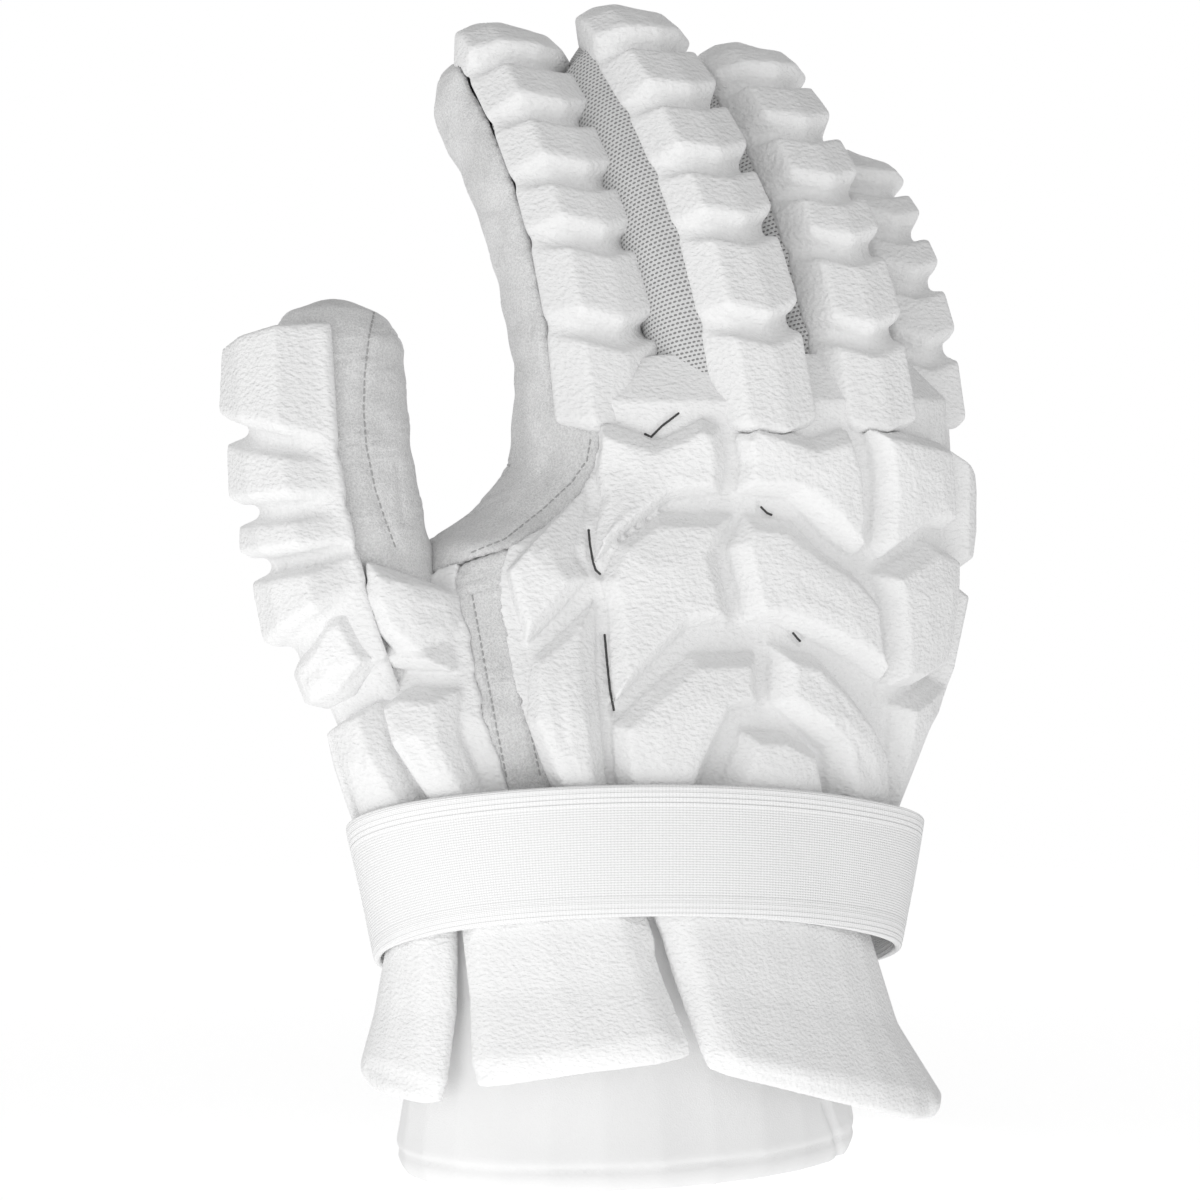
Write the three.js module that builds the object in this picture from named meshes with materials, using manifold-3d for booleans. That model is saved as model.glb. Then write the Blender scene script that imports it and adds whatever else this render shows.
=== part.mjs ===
// A right-hand lacrosse glove that stands on the hem of its cuff, in millimetres.
// +Z runs up through the fingers, the back of the hand looks towards -Y and the thumb is towards -X.
// Foam pads sit on a hollow hand of leather, suede and knit, over a padded cuff with three flared plates.
import * as THREE from "three";
import { mergeVertices } from "three/addons/utils/BufferGeometryUtils.js";
import Module from "manifold-3d";

const wasm = await Module();
wasm.setup();

// Walls and clearances
const SEAT_GAP = 0.3; // between pieces that touch on the real glove
const HAND_WALL = 2.2; // leather back and suede palm
const SLEEVE_WALL = 2; // knit and suede round the digits
const LINER_WALL = 3; // padded wall of the cuff
const CHANNEL = 2.6; // open groove between two pads on one digit

// Cuff and hand
const CUFF_HEIGHT = 74;
const CUFF_WIDTH = 137;
const CUFF_DEPTH = 96;
const HAND_LENGTH = 152; // from the cuff's top to the crotches between the fingers
const THUMB_REACH = 83; // from the cuff's middle to the thumb's side, at its root
const LITTLE_REACH = 106; // from the cuff's middle to the little finger's side, at its knuckle
const HAND_DEPTH = 72;
const HAND_SHIFT = 36; // how far the knuckles stand to the little finger's side of the cuff

// Digits
const FINGER_GAP = 6; // between two fingers at their roots
const KNUCKLE_ARCH = 42; // how far the outer fingers stand towards the palm
const FINGER_ROOT = 22; // how far below the crotches a finger starts
const TIP_ROUND = 13; // length of a fingertip's dome

// Pads, straps and plates
const FINGER_PAD = 9.5;
const THUMB_PAD = 14;
const HAND_PAD = 9.5;
const PAD_BEVEL = 3.4;
const CHEVRON = 5.5; // how far a finger pad's point reaches towards the wrist
const STRAP_WIDTH = 36;
const STRAP_THICKNESS = 2.4;
const STRAP_ARCH = 18; // how far the strap rises to the back and falls to the palm
const STRAP_SPREAD = 6; // how much further it stands off on the little finger's side
const PLATE_THICKNESS = 8;
const PLATE_FLARE = 15; // how far the plates' lower edge stands off the cuff

const rad = THREE.MathUtils.degToRad;
const mix = THREE.MathUtils.lerp;
const share = (value, low, high) => THREE.MathUtils.clamp((value - low) / (high - low), 0, 1);

// A smooth value between the rows of a table, read at a height.
function between(rows, height, column) {
  const last = rows.length - 1;
  let k = rows.findIndex((row) => row.height > height) - 1;
  k = k < -1 ? last - 1 : THREE.MathUtils.clamp(k, 0, last - 1);
  const [a, b] = [rows[k], rows[k + 1]];
  const slope = (i) => {
    const [p, q] = [rows[Math.max(i - 1, 0)], rows[Math.min(i + 1, last)]];
    return ((q[column] - p[column]) / (q.height - p.height)) * (b.height - a.height);
  };
  const t = share(height, a.height, b.height);
  const [t2, t3] = [t * t, t * t * t];
  return (
    (2 * t3 - 3 * t2 + 1) * a[column] +
    (t3 - 2 * t2 + t) * slope(k) +
    (3 * t2 - 2 * t3) * b[column] +
    (t3 - t2) * slope(k + 1)
  );
}

// Skins a row of rings that have as many points each. Ends are "capped", or "joined" into one another.
function loft(rings, ends) {
  const count = rings[0].length;
  const points = rings.flat();
  const faces = [];
  const steps = ends === "joined" ? rings.length : rings.length - 1;
  for (let i = 0; i < steps; i++) {
    for (let j = 0; j < count; j++) {
      const next = (j + 1) % count;
      const [low, high] = [i * count, ((i + 1) % rings.length) * count];
      faces.push(low + j, low + next, high + next, low + j, high + next, high + j);
    }
  }
  if (ends === "capped") {
    for (const [ring, first, turn] of [
      [rings[0], 0, 1],
      [rings.at(-1), (rings.length - 1) * count, -1],
    ]) {
      const middle = ring.reduce((sum, p) => sum.add(p), new THREE.Vector3());
      points.push(middle.divideScalar(count));
      for (let j = 0; j < count; j++) {
        const pair = [first + ((j + 1) % count), first + j];
        faces.push(...(turn > 0 ? pair : pair.reverse()), points.length - 1);
      }
    }
  }
  return new THREE.BufferGeometry().setFromPoints(points).setIndex(faces);
}

// A closed geometry as a solid for cutting and joining, with its faces turned outwards.
function solid(geometry) {
  const merged = mergeVertices(geometry, 1e-3);
  const vertProperties = merged.attributes.position.array;
  const triVerts = new Uint32Array(merged.index.array);
  const made = new wasm.Manifold(new wasm.Mesh({ numProp: 3, vertProperties, triVerts }));
  if (made.volume() > 0) return made;
  return new wasm.Manifold(
    new wasm.Mesh({ numProp: 3, vertProperties, triVerts: triVerts.reverse() }),
  );
}

function geometryOf(body) {
  const { vertProperties, triVerts, numProp } = body.getMesh();
  const position = new THREE.BufferAttribute(new Float32Array(vertProperties), numProp);
  return new THREE.BufferGeometry()
    .setAttribute("position", position)
    .setIndex(new THREE.BufferAttribute(new Uint32Array(triVerts), 1));
}

// The largest of the bodies that a cut leaves, once points that nearly meet are joined.
const largest = (body) =>
  solid(geometryOf(body))
    .decompose()
    .reduce((best, piece) => (piece.volume() > best.volume() ? piece : best));

// Digits. A path leans across the hand and curls towards the palm, both in degrees from upright.
const FINGERS = [
  { name: "index", width: 34, depth: 34, length: 126, lean: -0.8, curl: 52, roll: 6, pads: 6 },
  { name: "middle", width: 30, depth: 31, length: 135, lean: -4, curl: 54, roll: 4, pads: 6 },
  { name: "ring", width: 29, depth: 31, length: 122, lean: -3, curl: 52, roll: 3, pads: 6 },
  { name: "little", width: 27, depth: 29, length: 85, lean: 0, curl: 46, roll: 2, pads: 5 },
];
const ROW_WIDTH = FINGERS.reduce((sum, f) => sum + f.width, FINGER_GAP * (FINGERS.length - 1));
const THUMB = {
  name: "thumb",
  width: 34,
  depth: 39,
  length: 146,
  root: { x: -49, y: 5, z: 104 },
  lean: [-34, 6],
  curl: [4, 12],
  roll: -86,
};

const PATH_STEPS = 48;
const FINGER_START_CURL = 4;

function digit({ name, width, depth, length, root, lean, curl, roll }) {
  const straight = length - TIP_ROUND;
  const heading = (s) => {
    const [l, c] = [lean, curl].map(([from, to]) => rad(mix(from, to, s / straight)));
    return new THREE.Vector3(Math.sin(l) * Math.cos(c), Math.sin(c), Math.cos(l) * Math.cos(c));
  };
  const stations = [new THREE.Vector3(root.x, root.y, root.z)];
  const step = straight / PATH_STEPS;
  for (let i = 0; i < PATH_STEPS; i++) {
    stations.push(stations[i].clone().addScaledVector(heading((i + 0.5) * step), step));
  }
  const facing = new THREE.Vector3(Math.sin(rad(roll)), -Math.cos(rad(roll)), 0);

  // The frame at a distance along the digit: its centre, and the ways along, to its back and aside.
  function frame(s) {
    const at = THREE.MathUtils.clamp(s / step, 0, PATH_STEPS);
    const k = Math.min(Math.floor(at), PATH_STEPS - 1);
    const centre = stations[k].clone().lerp(stations[k + 1], at - k);
    const along = heading(Math.min(s, straight));
    const back = facing.clone().addScaledVector(along, -facing.dot(along)).normalize();
    return { centre, along, back, side: along.clone().cross(back) };
  }

  // A point on the skin, lifted off it. Past the straight stretch the skin rounds over the tip.
  function point(angle, s, lift = 0) {
    const { centre, along, back, side } = frame(s);
    const round = rad(90 * share(s, straight, length));
    const fall = Math.cos(round);
    return centre
      .addScaledVector(side, Math.sin(rad(angle)) * (width / 2 + lift) * fall)
      .addScaledVector(back, Math.cos(rad(angle)) * (depth / 2 + lift) * fall)
      .addScaledVector(along, Math.sin(round) * (TIP_ROUND + lift));
  }
  return { name, width, length, straight, frame, point };
}

const KNUCKLE_HEIGHT = CUFF_HEIGHT + HAND_LENGTH;
const ROW_MIDDLE_Y = -20;
const ROW_SHIFT = 3;

// Roots stand side by side in an arch, each finger taking its own width and the gap beside it.
function fingerRow() {
  let edge = -ROW_WIDTH / 2;
  return FINGERS.map((f) => {
    const across = edge + f.width / 2;
    edge += f.width + FINGER_GAP;
    const root = {
      x: HAND_SHIFT + ROW_SHIFT + across,
      y: ROW_MIDDLE_Y + KNUCKLE_ARCH * (across / (ROW_WIDTH / 2)) ** 2,
      z: KNUCKLE_HEIGHT - FINGER_ROOT,
    };
    const curl = [FINGER_START_CURL, f.curl];
    return { ...f, ...digit({ ...f, root, lean: [f.lean, f.lean], curl }) };
  });
}
const fingers = fingerRow();
const thumb = { ...THUMB, ...digit(THUMB) };
const digits = [...fingers, thumb];

// Sections of the cuff and hand. Reaches run from the cuff's middle to the thumb's side and to the
// little finger's side, and depths from the section's own middle to the back and to the palm. Below
// 1, full makes the palm's side boxier than an ellipse. Cup lifts its two sides beyond its middle.
const cuffAt = (part) => CUFF_HEIGHT * part;
const handAt = (part) => CUFF_HEIGHT + HAND_LENGTH * part;
const CUFF_SECTIONS = [
  { part: 0, reach: 0.985, depth: 0.97 },
  { part: 0.1, reach: 1.02, depth: 1 },
  { part: 0.45, reach: 0.96, depth: 0.9 },
];
const HAND_SECTIONS = [
  { part: 0, thumb: 0.79, little: 0.64, back: 0.53, palm: 0.48, full: 1, cup: 0, y: 0 },
  { part: 0.22, thumb: 0.94, little: 0.77, back: 0.53, palm: 0.45, full: 0.9, cup: 0, y: 0 },
  { part: 0.36, thumb: 1, little: 0.88, back: 0.53, palm: 0.4, full: 0.85, cup: 0.03, y: 0 },
  { part: 0.55, thumb: 0.79, little: 0.98, back: 0.51, palm: 0.32, full: 0.75, cup: 0.08, y: 2 },
  { part: 0.66, thumb: 0.72, little: 1, back: 0.51, palm: 0.26, full: 0.7, cup: 0.12, y: 3 },
  { part: 0.72, thumb: 0.51, little: 1, back: 0.52, palm: 0.23, full: 0.65, cup: 0.16, y: 4 },
  { part: 0.8, thumb: 0.36, little: 1, back: 0.54, palm: 0.19, full: 0.6, cup: 0.21, y: 5 },
  { part: 0.9, thumb: 0.35, little: 0.99, back: 0.56, palm: 0.15, full: 0.6, cup: 0.23, y: 5 },
  { part: 0.97, thumb: 0.31, little: 0.95, back: 0.52, palm: 0.12, full: 0.6, cup: 0.23, y: 5 },
  { part: 1, thumb: 0.21, little: 0.86, back: 0.42, palm: 0.08, full: 0.6, cup: 0.21, y: 5 },
];
const BODY = [
  ...CUFF_SECTIONS.map(({ part, reach, depth }) => ({
    height: cuffAt(part),
    thumb: (CUFF_WIDTH / 2) * reach,
    little: (CUFF_WIDTH / 2) * reach,
    back: (CUFF_DEPTH / 2) * depth,
    palm: (CUFF_DEPTH / 2) * depth,
    full: 1,
    cup: 0,
    y: 0,
  })),
  ...HAND_SECTIONS.map((row) => ({
    height: handAt(row.part),
    thumb: THUMB_REACH * row.thumb,
    little: LITTLE_REACH * row.little,
    back: HAND_DEPTH * row.back,
    palm: HAND_DEPTH * row.palm,
    full: row.full,
    cup: HAND_DEPTH * row.cup,
    y: row.y,
  })),
];

// A point on the cuff and hand. The angle is 0 at the back and grows towards the little finger.
function bodyPoint(angle, height, lift = 0) {
  const at = {};
  for (const column of Object.keys(BODY[0])) at[column] = between(BODY, height, column);
  const [across, out] = [Math.sin(rad(angle)), Math.cos(rad(angle))];
  const inward = Math.max(0, -out);
  const palm = at.palm * inward ** at.full + at.cup * across ** 2 * inward ** 0.35;
  return new THREE.Vector3(
    (at.little - at.thumb) / 2 + across * ((at.thumb + at.little) / 2 + lift),
    at.y + palm - at.back * Math.max(0, out) - out * lift,
    height,
  );
}

const BODY_SIDES = 26;
const angles = (count) => Array.from({ length: count }, (_, k) => (k * 360) / count);
const steps = (from, to, count) =>
  Array.from({ length: count + 1 }, (_, k) => mix(from, to, k / count));
const bodyRing = (height, lift) => angles(BODY_SIDES).map((a) => bodyPoint(a, height, lift));

// Heights of the rings that the hand is skinned through, as parts of its length.
const HAND_RINGS = [0, 0.2, 0.36, 0.52, 0.66, 0.72, 0.8, 0.92, 1];

function handForm(lift, below = 0) {
  const rings = HAND_RINGS.map((part) => bodyRing(handAt(part), lift));
  rings[0].forEach((p) => (p.z -= below));
  rings.at(-1).forEach((p) => (p.z += lift));
  return solid(loft(rings, "capped"));
}

const DIGIT_SIDES = 12;
const DIGIT_RINGS = 6;
const DOME = [0.45, 0.84]; // where the rings of a tip's dome stand

function digitForm(d, lift) {
  const stops = [
    ...steps(0, d.straight, DIGIT_RINGS - 1),
    ...DOME.map((part) => mix(d.straight, d.length, part)),
  ];
  const rings = stops.map((s) => angles(DIGIT_SIDES).map((a) => d.point(a, s, lift)));
  return solid(loft(rings, "capped"));
}

const handOuter = handForm(0);
const handSeat = handForm(SEAT_GAP, SEAT_GAP);
for (const d of digits) {
  d.outer = digitForm(d, 0);
  d.seat = digitForm(d, SEAT_GAP);
  d.inner = digitForm(d, -SLEEVE_WALL);
}
const hollow = digits.reduce((all, d) => all.add(d.inner), handForm(-HAND_WALL, 1));

const nodes = [];
const finish = {
  leather: { color: 0xf3f3f3, roughness: 0.55, metalness: 0 },
  suede: { color: 0xd2d2d2, roughness: 0.95, metalness: 0 },
  knit: { color: 0xc9c9c9, roughness: 0.9, metalness: 0 },
  elastic: { color: 0xf6f6f6, roughness: 0.8, metalness: 0 },
};

function add(name, body, look) {
  const made = new THREE.Mesh(
    geometryOf(largest(body)),
    new THREE.MeshStandardMaterial(finish[look]),
  );
  made.name = name;
  nodes.push(made);
}

// Cuff: a padded liner, open at both ends, whose hem the glove stands on.
function liner() {
  const heights = [0, 0.04, 0.1, 0.28, 0.45, 0.72, 1].map((part) =>
    Math.min(cuffAt(part), CUFF_HEIGHT - SEAT_GAP),
  );
  const outer = heights.map((h) => bodyRing(h, 0));
  const inner = heights.map((h) => bodyRing(h, -LINER_WALL)).reverse();
  return solid(loft([...outer, ...inner], "joined"));
}

// Hand: the shell is cut into panels along seams, which run at these angles up the hand.
const SEAMS = [
  { height: handAt(-0.1), palm: -120, strip: -46, back: -33, side: 100 },
  { height: handAt(0.23), palm: -118, strip: -45, back: -33, side: 100 },
  { height: handAt(0.36), palm: -116, strip: -49, back: -38, side: 98 },
  { height: handAt(0.48), palm: -112, strip: -60, back: -49, side: 94 },
  { height: handAt(0.57), palm: -106, strip: -71, back: -56, side: 92 },
  { height: handAt(0.65), palm: -58, strip: -76, back: -58, side: 90 },
  { height: handAt(0.8), palm: -58, strip: -70, back: -58, side: 90 },
  { height: handAt(1.1), palm: -58, strip: -70, back: -58, side: 90 },
];
const PANEL_REACH = 1.12; // how far out a panel's space runs, as a share of the section
const SEAM_GAP = 0.25; // degrees on either side of a seam
const CROTCH_SHIFT = 17; // how far to the back the palm's suede reaches between the fingers
const PANEL_RINGS = 22;
const PANEL_STEPS = 12;

// The space that a panel takes, fanned out from the middle of the hand between two seams.
function wedge(from, to, grow = 0) {
  const rings = steps(handAt(-0.1), handAt(1.1), PANEL_RINGS).map((height) => {
    const at = bodyPoint(90, height).add(bodyPoint(-90, height)).divideScalar(2);
    at.y -= CROTCH_SHIFT * THREE.MathUtils.smoothstep(height, handAt(0.78), handAt(0.95));
    const edges = [from, to].map(({ seam, turn = 0 }) => between(SEAMS, height, seam) + turn);
    const fan = steps(edges[0] - grow, edges[1] + grow, PANEL_STEPS).map((angle) =>
      bodyPoint(angle, height).sub(at).multiplyScalar(PANEL_REACH).add(at),
    );
    return [at, ...fan];
  });
  return solid(loft(rings, "capped"));
}

const FAN_STEPS = 6;

// The part of a digit's sleeve between two angles, which may run past its tip.
function sector(d, from, to, grow = 0) {
  const rings = steps(0, d.length, DIGIT_RINGS + 2).map((s) => {
    const { centre, along } = d.frame(s);
    const at = centre.addScaledVector(along, 2 * Math.max(0, s - d.straight));
    const fan = steps(from - grow, to + grow, FAN_STEPS).map((angle) =>
      d.point(angle, Math.min(s, d.straight), d.width / 2).sub(d.frame(s).centre).add(at),
    );
    return [at, ...fan];
  });
  return solid(loft(rings, "capped"));
}

const shell = handOuter.subtract(hollow);
const PALM_END = { seam: "palm", turn: 360 };
const FRONTS = { index: [72, 302], middle: [100, 262], ring: [100, 260], little: [102, 258] };

function handPanels() {
  const palmSpace = wedge({ seam: "side" }, PALM_END, -SEAM_GAP);
  const beside = shell.subtract(wedge({ seam: "side" }, PALM_END, SEAM_GAP));
  const fromSeam = (seam, grow) => wedge({ seam }, { seam: "side", turn: 30 }, grow);
  const palm = fingers.reduce((all, f) => {
    const front = f.outer.subtract(hollow).intersect(sector(f, ...FRONTS[f.name], -SEAM_GAP));
    return all.add(front.subtract(handOuter.subtract(palmSpace)));
  }, shell.intersect(palmSpace));
  add("palm", palm, "suede");
  add("back_panel", beside.intersect(fromSeam("back", -SEAM_GAP)), "leather");
  const strip = beside.intersect(fromSeam("strip", -SEAM_GAP));
  add("suede_strip", strip.subtract(fromSeam("back", SEAM_GAP)), "suede");
  add("thumb_panel", beside.subtract(fromSeam("strip", SEAM_GAP)), "leather");
}

function sleeves() {
  for (const f of fingers) {
    const knit = f.outer
      .subtract(hollow)
      .subtract(handSeat)
      .subtract(sector(f, ...FRONTS[f.name], SEAM_GAP));
    add(f.name + "_gusset", knit, "knit");
  }
  add("thumb_sleeve", thumb.outer.subtract(hollow).subtract(handSeat), "suede");
}

// Pads. Each is made a second time, grown by the gap, to keep the later ones clear of it.
const seats = digits.reduce((all, d) => all.add(d.seat), handSeat);
const taken = [];

function addPad(name, make) {
  const clear = taken.reduce((left, other) => left.subtract(other), make(0).subtract(seats));
  add(name, clear, "leather");
  taken.push(make(SEAT_GAP));
}

// A foam pad on a digit's back, a roof with a flattened top whose edges point to the wrist.
const FINGER_WRAP = 58;
const PAD_ROOF = [
  { turn: -1, height: 0.35 },
  { turn: -0.5, height: 1 },
  { turn: 0, height: 0.88 },
  { turn: 0.5, height: 1 },
  { turn: 1, height: 0.35 },
];
const PAD_ROOT = -1.2; // how far a pad reaches into what it sits on before its seat is cut

function digitPad(d, { low, high, thickness, wrap }, grow) {
  const stations = PAD_ROOF.map(({ turn, height }) => {
    const [from, to] = [low(turn) - grow, high(turn) + grow];
    const rise = thickness * height + grow;
    const bevel = Math.min(PAD_BEVEL, rise * 0.5);
    return [
      [from, PAD_ROOT],
      [from, rise - bevel],
      [from + bevel * 0.7, rise],
      [to - bevel * 0.8, rise * 0.9],
      [to, PAD_ROOT],
    ].map(([s, lift]) => d.point(turn * wrap * (1 + grow / 20), s, lift));
  });
  return solid(loft(stations, "capped"));
}

// A tip's pad is a dome over the sleeve's, cut to the back of the digit.
function tipPad(d, { low, thickness, wrap }, grow) {
  const full = thickness + grow;
  const edge = (part, lift) =>
    angles(DIGIT_SIDES + 4).map((a) => {
      const turn = (a > 180 ? a - 360 : a) / wrap;
      const from = low(THREE.MathUtils.clamp(turn, -1, 1)) - grow;
      const flat = 1 - 0.45 * THREE.MathUtils.smoothstep(Math.abs(turn), 0.5, 1.1);
      return d.point(a, mix(from, d.length, part), lift > 0 ? lift * flat : lift);
    });
  const start = low(0) / d.length;
  const bevelled = (PAD_BEVEL * 0.7) / (d.length * (1 - start));
  const straight = (d.straight / d.length - start) / (1 - start);
  const rings = [
    edge(0, PAD_ROOT),
    edge(0, full - PAD_BEVEL),
    edge(bevelled, full),
    edge(straight, full * 0.86),
    ...DOME.map((part) => edge(mix(straight, 1, part), full * 0.8)),
  ];
  return solid(loft(rings, "capped")).intersect(sector(d, -wrap, wrap, grow));
}

// Shares of a finger's length that its pads take, from the knuckle to the tip.
const PAD_SHARES = {
  6: [0.22, 0.19, 0.14, 0.155, 0.155, 0.14],
  5: [0.27, 0.22, 0.18, 0.17, 0.16],
};
const FINGER_PADS_FROM = 3; // up the finger from its root, where the first pad begins
const TIP_WRAP = 72;

function fingerPads() {
  const chevron = (turn) => -CHEVRON * (1 - Math.abs(turn)) ** 1.2;
  for (const f of fingers) {
    let at = FINGER_PADS_FROM;
    PAD_SHARES[f.pads].forEach((part, k) => {
      const from = at;
      at += part * (f.length - FINGER_PADS_FROM);
      const to = at - CHANNEL;
      const row = { low: (turn) => from + chevron(turn), high: (turn) => to + chevron(turn) };
      const build = k === f.pads - 1 ? tipPad : digitPad;
      const wrap = k === f.pads - 1 ? TIP_WRAP : FINGER_WRAP;
      const shape = { ...row, thickness: FINGER_PAD, wrap };
      addPad(`${f.name}_pad_${k + 1}`, (grow) => build(f, shape, grow));
    });
  }
}

// Shares of the thumb's length where its pads begin and end, at the far edge and at the near edge.
const THUMB_PADS = [
  { name: "thumb_pad_1", from: [0.375, 0.46], to: [0.535, 0.52] },
  { name: "thumb_pad_2", from: [0.555, 0.535], to: [0.635, 0.6] },
  { name: "thumb_pad_3", from: [0.65, 0.615], to: [0.79, 0.69] },
  { name: "thumb_cap", from: [0.81, 0.705], to: [0.925, 0.93] },
];
const THUMB_WRAP = 60;

function thumbPads() {
  for (const { name, from, to } of THUMB_PADS) {
    const slant = (edge) => (turn) => thumb.length * mix(edge[0], edge[1], (turn + 1) / 2);
    const shape = { low: slant(from), high: to && slant(to), thickness: THUMB_PAD, wrap: THUMB_WRAP };
    addPad(name, (grow) => (to ? digitPad : tipPad)(thumb, shape, grow));
  }
}

// Blocks on the hand and on the thumb's root. Corners run round each as degrees from the middle of
// the back and shares of the hand's or the thumb's length.
const HAND_BLOCKS = {
  knuckle_index: [
    [-57, 0.9], [-40, 0.86], [-29, 0.9], [-24, 0.88], [-20, 0.75], [-31, 0.74], [-35, 0.62],
    [-42, 0.69], [-57, 0.79],
  ],
  knuckle_middle: [
    [-17, 0.9], [-2, 0.86], [8, 0.88], [23, 0.65], [20, 0.63], [-5, 0.74], [-18, 0.75], [-22, 0.86],
  ],
  knuckle_ring: [[11, 0.89], [27, 0.87], [44, 0.85], [54, 0.67], [39, 0.68], [27, 0.62], [24, 0.65]],
  knuckle_little: [[48, 0.84], [78, 0.8], [84, 0.64], [74, 0.59], [58, 0.6]],
  back_index: [[-32, 0.73], [-14, 0.725], [-4, 0.52], [-13, 0.51], [-22, 0.37], [-29, 0.5], [-34, 0.6]],
  back_middle: [
    [-13, 0.725], [1, 0.71], [21, 0.61], [28, 0.56], [38, 0.39], [17, 0.47], [5, 0.51], [-3, 0.52],
  ],
  back_ring: [[25, 0.605], [43, 0.665], [57, 0.64], [64, 0.41], [49, 0.38], [39, 0.385], [29, 0.55]],
  back_little: [[60, 0.58], [84, 0.57], [88, 0.02], [72, 0.02], [43, 0.36], [65, 0.4]],
  wrist_index: [[-11, 0.475], [3, 0.475], [8, 0.37], [2, 0.36], [-4, 0.18], [-20, 0.18], [-22, 0.35]],
  wrist_ring: [
    [4, 0.49], [17, 0.46], [46, 0.28], [69, 0.06], [37, 0.08], [25, 0.28], [14, 0.34], [9, 0.37],
  ],
  wrist_middle: [[4, 0.335], [14, 0.33], [23, 0.29], [35, 0.09], [-2, 0.12]],
  web_upper: [[-57, 0.775], [-44, 0.69], [-35, 0.61], [-45, 0.48], [-53, 0.56], [-56, 0.62]],
  web_lower: [[-34, 0.58], [-30, 0.5], [-23, 0.37], [-20, 0.18], [-32, 0.18], [-42, 0.44], [-43, 0.47]],
  thumb_root_near: [[-100, 0.6], [-73, 0.575], [-58, 0.44], [-80, 0.44], [-100, 0.46]],
  thumb_base_near: [[-76, 0.39], [-70, 0.425], [-55, 0.42], [-46, 0.16], [-60, 0.14]],
  thumb_base_far: [[-96, 0.36], [-78, 0.4], [-62, 0.14], [-78, 0.1], [-94, 0.1]],
  thumb_base_side: [[-118, 0.34], [-98, 0.36], [-96, 0.08], [-116, 0.08]],
};
const THUMB_BLOCKS = {
  thumb_root_far: [
    [-36, 0.37], [10, 0.41], [27, 0.44], [46, 0.44], [50, 0.37], [56, 0.33], [25, 0.28],
    [-36, 0.26],
  ],
  thumb_root_near: [[62, 0.51], [130, 0.4], [120, 0.25], [66, 0.31], [55, 0.37], [53, 0.44]],
};
const BLOCK_EDGE = 15; // longest stretch of a block's outline between two points
const BLOCK_GROOVE = 1; // from a block's outline in the table to its own edge

// A foam block with sloped sides on a curved surface. Its outline is laid out flat, in millimetres.
function block(surface, outline, grow) {
  const flat = outline.map(([x, y]) => new THREE.Vector2(x, y));
  const turn = THREE.ShapeUtils.isClockWise(flat) ? -1 : 1;
  const edge = flat.flatMap((p, k) => {
    const next = flat[(k + 1) % flat.length];
    const count = Math.ceil(p.distanceTo(next) / BLOCK_EDGE);
    return steps(0, 1, count).slice(0, -1).map((t) => p.clone().lerp(next, t));
  });
  const inset = (by) =>
    edge.map((p, k) => {
      const before = p.clone().sub(edge.at(k - 1)).normalize();
      const after = edge[(k + 1) % edge.length].clone().sub(p).normalize();
      const inward = new THREE.Vector2(-before.y - after.y, before.x + after.x).multiplyScalar(turn);
      const lean = Math.max(0.55, inward.length() / 2);
      return p.clone().addScaledVector(inward.normalize(), by / lean);
    });
  const middle = edge.reduce((sum, p) => sum.add(p), new THREE.Vector2()).divideScalar(edge.length);
  const shrunk = (ring, part) => ring.map((p) => p.clone().lerp(middle, part));
  const lifted = (ring, lift) => ring.map((p) => surface(p, lift));
  const rise = HAND_PAD + grow;
  const foot = inset(BLOCK_GROOVE - grow);
  const top = inset(BLOCK_GROOVE + PAD_BEVEL - grow);
  const rings = [
    lifted(foot, PAD_ROOT),
    lifted(foot, rise * 0.4),
    lifted(top, rise * 0.93),
    lifted(shrunk(top, 0.55), rise),
  ];
  return solid(loft(rings, "capped"));
}

// Millimetres along a surface for one degree about it.
const DEGREE = rad(1) * (THUMB_REACH + LITTLE_REACH) * 0.36;
const THUMB_DEGREE = rad(1) * (THUMB.width + THUMB.depth) * 0.32;

function blocks() {
  const onHand = (p, lift) => bodyPoint(p.x / DEGREE, p.y, lift);
  const onThumb = (p, lift) => thumb.point(p.x / THUMB_DEGREE, p.y, lift);
  const onBoth = [
    [THUMB_BLOCKS, onThumb, THUMB_DEGREE, (part) => thumb.length * part],
    [HAND_BLOCKS, onHand, DEGREE, handAt],
  ];
  for (const name of new Set(onBoth.flatMap(([table]) => Object.keys(table)))) {
    addPad(name, (grow) =>
      onBoth
        .filter(([table]) => table[name])
        .map(([table, surface, degree, along]) => {
          const outline = table[name].map(([angle, part]) => [angle * degree, along(part)]);
          return block(surface, outline, grow);
        })
        .reduce((all, piece) => all.add(piece)),
    );
  }
}

// Strap: a closed band round the wrist, over the pads' lower ends and the plates' upper ends.
const STRAP_STEPS = 36;
const STRAP_OVER_PADS = 10.6;
const STRAP_OFF_PALM = 0.8;
const STRAP_MIDDLE = CUFF_HEIGHT + 1.5; // mean height of the strap's middle line
const STRAP_TOP = -24; // degrees from the back's middle to where the strap runs highest
const across = (angle, from, to) => THREE.MathUtils.smoothstep(Math.abs(angle), from, to);
const strapHeight = (angle) => STRAP_MIDDLE + STRAP_ARCH * Math.cos(rad(angle - STRAP_TOP));
const strapLift = (angle) =>
  mix(STRAP_OVER_PADS, STRAP_OFF_PALM, across(angle, 130, 162)) +
  STRAP_SPREAD * (1 - across(angle - 78, 10, 56));

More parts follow.
